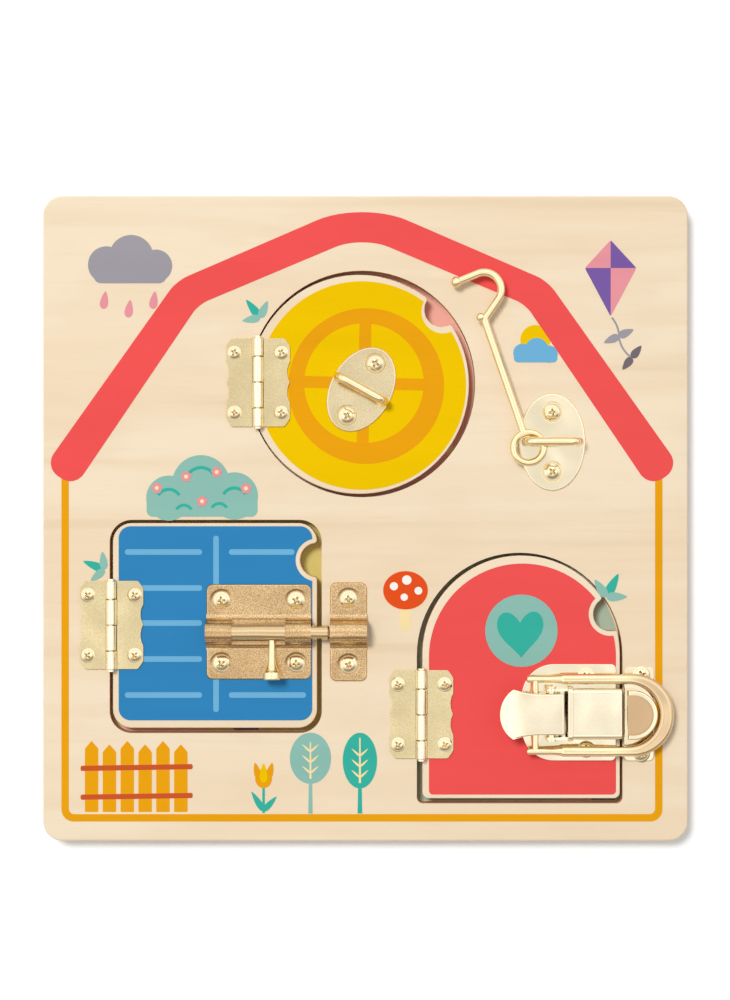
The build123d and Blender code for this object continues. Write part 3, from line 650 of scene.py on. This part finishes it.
# The house: a plain roof band, read off the picture in pixels, and a line for its walls
roofBand = {"middle": 362, "right half": [(362, 200.8, 22.8), (547.6, 281, 5.6), (679.6, 466.7, 7.6),
                                          (649.5, 487.6, 7.6), (525.6, 304.6, 4.6), (362, 235.7, 13.5)]}
half = roofBand["right half"]
roof = half + [(2 * roofBand["middle"] - x, y, cut) for x, y, cut in half[4:0:-1]]
wallLine = {"left": -141.4, "right": 138.1, "low": -140.9, "top": 24.0, "wide": 3.4, "corner": 5.6,
            "inner corner": 2.6}
left, right, low, top, wide, corner, inner = wallLine.values()
figures({
    "roof-band": ("red", 1, [(sheet, [(across(x), up(y), cut) for x, y, cut in roof])]),
    "wall-line": ("orange", 0, [(sheet, [
        (left, top), (left, low, corner), (right, low, corner), (right, top), (right - wide, top),
        (right - wide, low + wide, inner), (left + wide, low + wide, inner), (left + wide, top)])]),
})
print("house lines done")


def roundel(x, y, radius):
    # a large disc with a smooth rim
    return [(disc, x, y, radius, 1.0, 0.0, 128)]


# The doors' own paint
roundDoor = {"paint": (-1.7, 61.85, 48.5), "notch": (36.1, 96.2, 10.1), "ring": (0.3, 61.6, 36.2),
             "panes": (-0.7, 62.9, 27.8), "bar": 5.5, "bars past": 2, "turn": -1.4}
printed("round-door-yellow", "window_door", "yellow", 0, roundel(*roundDoor["paint"]), bites=[roundDoor["notch"]])
printed("round-door-ring", "window_door", "orange", 1, roundel(*roundDoor["ring"]))
printed("round-door-panes", "window_door", "yellow", 2, roundel(*roundDoor["panes"]))
x, y, reach = roundDoor["panes"]
barLength = 2 * reach + roundDoor["bars past"]
printed("round-door-bars", "window_door", "orange", 3, [
    (strip, x, y, barLength, roundDoor["bar"], roundDoor["turn"] + turn) for turn in (0, 90)])

squareDoor = {"outline": (-114.8, -93.9, -24.75, -3.6, 5.6), "notch": (-22.5, -19.3, 10.0), "slat": 2.6,
              "slat end": 0.48, "slat rows": (552, 588, 623, 659, 695),  # rows in pixels of the picture
              "columns": ((-111.9, -76.0), (-63.5, -27.7)), "short column end": -33.0, "middle": (-69.5, -49.0, 82.0)}
printed("square-door-blue", "shutter_door", "blue", 0, [(sheet, box(*squareDoor["outline"]))],
        bites=[squareDoor["notch"]])
slat = squareDoor["slat"]
rounding = slat * squareDoor["slat end"]
middleX, middleY, middleLength = squareDoor["middle"]
slats = [(strip, middleX, middleY, middleLength, slat, 90, rounding)]
for row, pixel in enumerate(squareDoor["slat rows"]):
    for start, end in squareDoor["columns"]:
        if row == 0 and start > middleX:
            end = squareDoor["short column end"]  # beside the notch
        slats.append((strip, (start + end) / 2, up(pixel), end - start, slat, 0, rounding))
printed("square-door-slats", "shutter_door", "light blue", 1, slats)

archedDoor = {"x": 73.0, "y": -64.45, "half": 43.5, "low": -128.4, "corner": 1.9, "notch": (113.9, -44.5, 10.1),
              "badge": (72.5, -52.2, 16.8), "heart": (72.1, -54.1, 21.6, 21.4, 2)}
x, y, half, low, cut = (archedDoor[key] for key in ("x", "y", "half", "low", "corner"))
printed("arched-door-red", "arched_door", "red", 0, roundel(x, y, half) + [
    (sheet, [(x - half, low, cut), (x + half, low, cut), (x + half, y), (x - half, y)])], bites=[archedDoor["notch"]])
printed("arched-door-badge", "arched_door", "pale teal", 1, roundel(*archedDoor["badge"]))
printed("arched-door-heart", "arched_door", "teal", 2, [(heart, *archedDoor["heart"])])
print("door prints done")


# Sky: a cloud with rain, a kite, and the sun behind a small cloud
figures({
    "cloud": ("grey", 0, [
        (disc, -120.5, 118.0, 8.6), (disc, -109.0, 121.5, 10.4), (disc, -97.5, 117.5, 7.6),
        (sheet, box(-126.5, 109.4, -92.5, 117.5, 3.6))]),
    "rain": ("pink", 0, [(leafShape, dropX, dropY, 8.2, 4.6, 82) for dropX, dropY in (
        (-122.0, 97.5), (-110.5, 93.5), (-99.0, 97.5))]),
    "kite-light": ("pink", 1, [
        (sheet, [(114.0, 129.5, 0.8), (126.0, 116.5, 0.8), (114.0, 94.0, 0.8), (102.0, 116.5, 0.8)])]),
    "kite-dark": ("purple", 2, [
        (sheet, [(114.0, 129.5, 0.8), (126.0, 116.5, 0.8), (114.0, 116.5)]),
        (sheet, [(114.0, 94.0, 0.8), (102.0, 116.5, 0.8), (114.0, 116.5)])]),
    "kite-tail": ("grey", 0, [
        (arcBand, 104.6, 84.6, 13.3, 0.9, 2, 42), (arcBand, 131.2, 86.0, 13.4, 0.9, 182, 236),
        (leafShape, 117.8, 84.8, 7.5, 4.6, 24), (leafShape, 117.8, 84.8, 7.5, 4.6, 204)]),
    "kite-bow": ("dark grey", 1, [
        (leafShape, 123.9, 74.8, 7.0, 4.4, 52), (leafShape, 123.9, 74.8, 7.0, 4.4, 232)]),
    "sun": ("yellow", 0, [(disc, 79.0, 83.0, 7.0)]),
    "sun-cloud": ("light blue", 1, [
        (disc, 73.0, 77.0, 4.3), (disc, 79.6, 78.6, 5.4), (disc, 85.4, 76.4, 4.0),
        (sheet, box(69.0, 72.6, 89.2, 76.8, 1.9))]),
})

# A hedge in bloom: each flower has five petals round its heart
bloom = {"petal": 1.15, "out": 1.45, "heart": 0.95, "steps": 20, "first": 18,
         "places": [(-97.0, 14.2), (-83.4, 19.5), (-69.2, 21.6), (-55.6, 14.0), (-76.0, 8.0)]}
petals = []
for x, y in bloom["places"]:
    for turn in range(bloom["first"], bloom["first"] + 360, 72):
        petals.append((disc, x + bloom["out"] * cos(radians(turn)), y + bloom["out"] * sin(radians(turn)),
                       bloom["petal"], 1.0, 0.0, bloom["steps"]))
figures({
    "hedge": ("pale teal", 0, [
        (disc, -91.5, 9.5, 10.5), (disc, -76.5, 16.0, 13.5), (disc, -61.0, 10.5, 11.0),
        (sheet, [(-101.8, 0.8, 3.0), (-50.2, 0.8, 3.0), (-50.2, 11.0, 4.0), (-101.8, 11.0, 4.0)])]),
    "hedge-leaves": ("teal", 1, [(arcBand, *leaf, 30, 150) for leaf in (
        (-91.5, 8.0, 5.6, 1.5), (-76.5, 16.5, 7.2, 1.5), (-61.0, 8.4, 5.8, 1.5), (-84.5, 2.2, 4.0, 1.4),
        (-68.0, 3.0, 4.0, 1.4))]),
    "hedge-petals": ("pink", 2, petals),
    "hedge-hearts": ("cream", 5, [
        (disc, x, y, bloom["heart"], 1.0, 0.0, bloom["steps"]) for x, y in bloom["places"]]),
})


def sprig(x, y, turn, size):
    # three leaves from one point: the middle one dark, the outer ones pale
    side = (size * 0.8, size * 0.42)
    return [(leafShape, x, y, *side, turn + 62), (leafShape, x, y, size, size * 0.44, turn),
            (leafShape, x, y, *side, turn - 62)]


sprigs = [sprig(-49.0, 93.4, 128, 10.5), sprig(-121.5, -23.8, 158, 10.5), sprig(112.0, -36.4, 62, 12.0)]
figures({
    "sprigs-dark": ("teal", 0, [leaves[1] for leaves in sprigs]),
    "sprigs-pale": ("pale teal", 1, [leaf for leaves in sprigs for leaf in leaves[::2]]),
    "toadstool-cap": ("scarlet", 1, [(disc, 18.6, -33.4, 10.4, 0.86)]),
    "toadstool-stem": ("cream", 0, [
        (sheet, [(15.6, -52.0, 1.4), (21.6, -52.0, 1.4), (20.8, -38.0), (16.4, -38.0)])]),
    "toadstool-dots": ("white", 2, [(disc, *dot, 1.0, 0.0, 24) for dot in (
        (13.2, -31.5, 1.9), (19.2, -28.6, 2.2), (24.6, -33.6, 1.8), (18.0, -36.6, 1.7))]),
})

# A fence of pointed boards, every other one shorter, on two rails that rise a little to the right
fence = {"boards": 6, "first": -130.5, "pitch": 8.3, "wide": 6.2, "low": -136.5, "shoulder": -107.0, "tip": -103.4,
         "shorter": 1.6, "cut": (0.4, 0.5), "rail": (-132.5, -80.4), "rails": (-117.4, -130.8), "rail wide": 2.4,
         "rail rise": 0.8, "rail cut": 0.8}
boards = []
for index in range(fence["boards"]):
    x, wide, low = fence["first"] + index * fence["pitch"], fence["wide"], fence["low"]
    less = (index % 2) * fence["shorter"]
    foot, head = fence["cut"]
    boards.append((sheet, [(x, low, foot), (x + wide, low, foot), (x + wide, fence["shoulder"] - less, head),
                           (x + wide / 2, fence["tip"] - less, head), (x, fence["shoulder"] - less, head)]))
start, end = fence["rail"]
wide, cut = fence["rail wide"], fence["rail cut"]
rails = []
for y in fence["rails"]:
    risen = y + fence["rail rise"]
    rails.append((sheet, [(start, y, cut), (end, risen, cut), (end, risen + wide, cut), (start, y + wide, cut)]))
figures({"fence-boards": ("orange", 0, boards), "fence-rails": ("brown", 1, rails)})

# A tulip and two trees, with pale stems in the trees' crowns and pairs of branches that spring from them
trees = {"stems": [(-25.6, -121.0, 17.0), (-2.6, -123.0, 21.0)], "foot": 0.5, "top": 0.3, "first": 2.5,
         "pitch": 5.0, "pairs": 3, "branch": (5.2, 1.1, 48)}
branches = []
foot, top = trees["foot"], trees["top"]
length, wide, lean = trees["branch"]
for x, y, tall in trees["stems"]:
    branches.append((sheet, [(x - foot, y), (x + foot, y), (x + top, y + tall), (x - top, y + tall)]))
    for step in range(trees["pairs"]):
        for side in (-1, 1):
            springs = y + trees["first"] + step * trees["pitch"]
            branches.append((leafShape, x, springs, length, wide, 90 - side * lean))
figures({
    "tulip-stems": ("teal", 0, [
        (sheet, box(-48.0, -137.0, -46.8, -124.0)),
        (leafShape, -47.4, -136.0, 10.5, 3.6, 122), (leafShape, -47.4, -136.0, 9.0, 3.4, 48)]),
    "tulip-cup": ("orange", 1, [
        (disc, -47.4, -121.0, 3.9, 1.12), (leafShape, -49.6, -121.0, 7.6, 3.8, 104),
        (leafShape, -45.2, -121.0, 7.6, 3.8, 76)]),
    "tulip-heart": ("yellow", 2, [(leafShape, -47.4, -122.8, 8.8, 4.2, 90)]),
    "tree-round": ("pale teal", 0, [
        (disc, -25.6, -111.5, 9.6, 1.24),
        (sheet, [(-26.6, -137.2), (-24.6, -137.2), (-24.9, -118.0), (-26.3, -118.0)])]),
    "tree-tall": ("teal", 0, [
        (disc, -2.6, -112.6, 8.0, 1.62),
        (sheet, [(-3.7, -137.2), (-1.5, -137.2), (-1.9, -118.0), (-3.3, -118.0)])]),
    "tree-branches": ("cream", 1, branches),
})
print("figures done")


# Pictures on the back board, seen through the notches and behind the open doors
backs = {"round": (-1.7, 62.6, 52.3), "square": (-118.6, -99.4, -20.7, -1.0, 9.5), "arch": (71.7, -63.75, 47.4),
         "arch low": -132.2, "arch corner": 2.5}
x, y, radius = backs["arch"]
low, cut = backs["arch low"], backs["arch corner"]
figures({
    "window-picture": ("rose", 0, roundel(*backs["round"])),
    "window-sill": ("cream", 1, [(sheet, box(-44.0, 30.0, 41.0, 37.0, 2.0))]),
    "window-pot": ("orange", 2, [
        (sheet, [(-10.0, 37.0, 1.5), (7.0, 37.0, 1.5), (10.0, 55.0, 1.0), (-13.0, 55.0, 1.0)])]),
    "window-plant": ("teal", 1, [(leafShape, -1.6, 54.0, 30.0, 12.0, turn) for turn in (52, 90, 128)]),
    "shutter-picture": ("olive", 0, [(sheet, box(*backs["square"]))]),
    "shutter-table": ("rose", 1, [
        (sheet, [(-115.0, -99.2, 4.0), (-74.0, -99.2), (-70.0, -88.0), (-115.0, -88.0, 4.0)])]),
    "shutter-bowl": ("dark grey", 2, [(strip, -56.0, -96.0, 12.0, 6.6, 0, 1.0)]),
    "shutter-basket": ("orange", 2, [
        (sheet, [(-96.0, -88.0, 4.0), (-44.0, -88.0, 4.0), (-38.0, -56.0, 2.0), (-102.0, -56.0, 2.0)])]),
    "shutter-apples": ("red", 1, [
        (disc, -87.0, -46.0, 11.0), (disc, -53.0, -46.0, 11.0), (disc, -70.0, -38.0, 12.0)]),
    "arched-picture": ("sage", 0, roundel(x, y, radius) + [
        (sheet, [(x - radius, low, cut), (x + radius, low, cut), (x + radius, y), (x - radius, y)])]),
    "arched-path": ("rose", 1, [(strip, 99.0, -129.5, 13.0, 5.0)]),
    "arched-step": ("dark grey", 1, [(strip, 111.5, -129.5, 11.0, 5.0)]),
    "arched-flower-stem": ("teal", 1, [
        (sheet, box(70.4, -131.0, 72.8, -70.0)),
        (leafShape, 71.6, -118.0, 26.0, 11.0, 38), (leafShape, 71.6, -118.0, 26.0, 11.0, 142)]),
    "arched-flower-petals": ("yellow", 2, [(leafShape, 71.6, -62.0, 19.0, 8.5, turn) for turn in range(0, 360, 30)]),
    "arched-flower-heart": ("brown", 3, [(disc, 71.6, -62.0, 8.0)]),
}, board["back"])
print("back pictures done")


# Table: white paper that glows faintly for the eye, more so far from the board, and hides nothing from below

paper = {
    "tone": (0.98, 0.98, 0.98, 1.0),
    "glow": 0.075,
    "fades": (0.32, 0.9),  # metres from the board's middle, between which it turns wholly white
    "tucked": 0.5,  # it runs so far in under the board
    "reach": 20,  # its size over the board's
    "sunk": 0.05,
}
white = (1, 1, 1, 1)
shade = Finish("paper", {"Base Color": paper["tone"], "Roughness": 0.9, "Specular IOR Level": 0.0})
spread = shade.node("VectorMath", {"operation": "LENGTH"}, {0: shade.spot()}, output=1)
under = shade.node("NewGeometry").twin("Backfacing")
lit = Wire(shade, shade.shader.outputs[0])
faint = shade.node("Emission", {}, {"Color": white, "Strength": paper["glow"]})
near = shade.node("AddShader", {}, {0: lit, 1: faint})
far = shade.node("Emission", {}, {"Color": white, "Strength": 1.0})
seen = shade.choose(shade.between(spread, *paper["fades"]), near, far)
seen = shade.choose(under, seen, shade.node("BsdfTransparent"))
seen = shade.choose(shade.node("LightPath").twin("Is Camera Ray"), lit, seen)
shade.tree.links.new(seen.socket, shade.tree.nodes["Material Output"].inputs["Surface"])

# It is cut out under the board, so that light from below reaches the back
table = bmesh.new()
hole = board["half"] - paper["tucked"]
middle = sheet(table, box(-hole, -hole, hole, hole, board["corner"]))
grown = bmesh.ops.extrude_edge_only(table, edges=table.edges[:])["geom"]
bmesh.ops.scale(table, vec=(paper["reach"], paper["reach"], 1),
                verts=[item for item in grown if isinstance(item, bmesh.types.BMVert)])
bmesh.ops.delete(table, geom=middle, context="FACES_ONLY")
bmesh.ops.recalc_face_normals(table, faces=table.faces)
if sum(face.normal.z for face in table.faces) < 0:
    bmesh.ops.reverse_faces(table, faces=table.faces)
bmesh.ops.translate(table, vec=(0, 0, -paper["sunk"]), verts=table.verts)
bmesh.ops.scale(table, vec=(mm, mm, mm), verts=table.verts)
tableMesh = bpy.data.meshes.new("table")
table.to_mesh(tableMesh)
table.free()
tableTop = bpy.data.objects.new("table", tableMesh)
scene.collection.objects.link(tableTop)
tableMesh.materials.append(shade.material)


# Room: white all round for the eye, even light for the object, and for metal a white ceiling over dimmer walls

room = {
    "fill": 0.47,
    "facing": (-0.25, 0.95),  # how much X and Y turn a direction to the bright side
    "meet": (-0.65, -0.05),  # where the dark side passes into the bright one
    "warmth": (0.25, 0.55),  # how much less green and blue there is where the light is dim
    # brightness by height, from straight down to straight up
    "bright side": [(0.0, 0.35), (0.18, 0.90), (0.42, 1.40), (0.60, 1.05), (0.76, 1.40), (0.90, 1.60), (0.975, 1.25),
                    (1.0, 0.94)],
    "dark side": [(0.0, 0.16), (0.12, 0.34), (0.25, 0.95), (0.38, 0.50), (0.56, 0.30), (0.74, 0.58), (0.90, 1.20),
                  (0.96, 1.15), (1.0, 0.94)],
}
world = bpy.data.worlds.new("studio")
scene.world = world
world.use_nodes = True
studio = Graph(world.node_tree)
toward = studio.node("SeparateXYZ", {}, {0: studio.node("TexCoord")})


def bands(side):
    # the light of one side of the room; what is dim is also warm
    green, blue = room["warmth"]
    stops = []
    for height, level in room[side]:
        dim = max(0.0, 1.0 - level)
        stops.append((height, (level, level * (1 - green * dim), level * (1 - blue * dim), 1)))
    return studio.node("ValToRGB", {"stops": stops}, {0: toward.twin("Z")})


facingX, facingY = room["facing"]
side = toward.twin("Y") * facingY + toward.twin("X") * facingX
ceiling = studio.blend(studio.between(side, *room["meet"]), bands("dark side"), bands("bright side"))
rays = studio.node("LightPath")
plain = (room["fill"], room["fill"], room["fill"], 1)
light = studio.blend(rays.twin("Is Glossy Ray"), plain, ceiling)
clear = rays.maths("MAXIMUM", rays.twin("Is Camera Ray"), rays.twin("Is Transmission Ray"))
light = studio.blend(clear, light, white)
studio.tree.links.new(light.socket, studio.tree.nodes["Background"].inputs["Color"])


# Lamp and camera

softbox = {"size": 1.2, "energy": 112.0, "spot": (-1.2, 1.3, 3.9), "target": (0, 0, 0.01)}
lamp = bpy.data.lights.new("softbox", "AREA")
lamp.shape = "DISK"
lamp.size = softbox["size"]
lamp.energy = softbox["energy"]
holder = bpy.data.objects.new("softbox", lamp)
scene.collection.objects.link(holder)
holder.location = softbox["spot"]
holder.rotation_euler = (Vector(softbox["target"]) - Vector(softbox["spot"])).to_track_quat("-Z", "Y").to_euler()
holder.visible_glossy = False  # the room alone is mirrored

camera = bpy.data.cameras.new("camera")
camera.sensor_fit = "VERTICAL"
camera.sensor_height = view["film"]
camera.lens = view["film"] * view["height"] / (view["tall"] / view["scale"])
camera.clip_start = 0.05  # metres
stand = bpy.data.objects.new("camera", camera)
scene.collection.objects.link(stand)
stand.location = (-view["aside"] / view["scale"] * mm, view["low"] / view["scale"] * mm,
                  (view["height"] + board["face"]) * mm)
scene.camera = stand
scene.view_settings.view_transform = "Standard"
print("studio done")
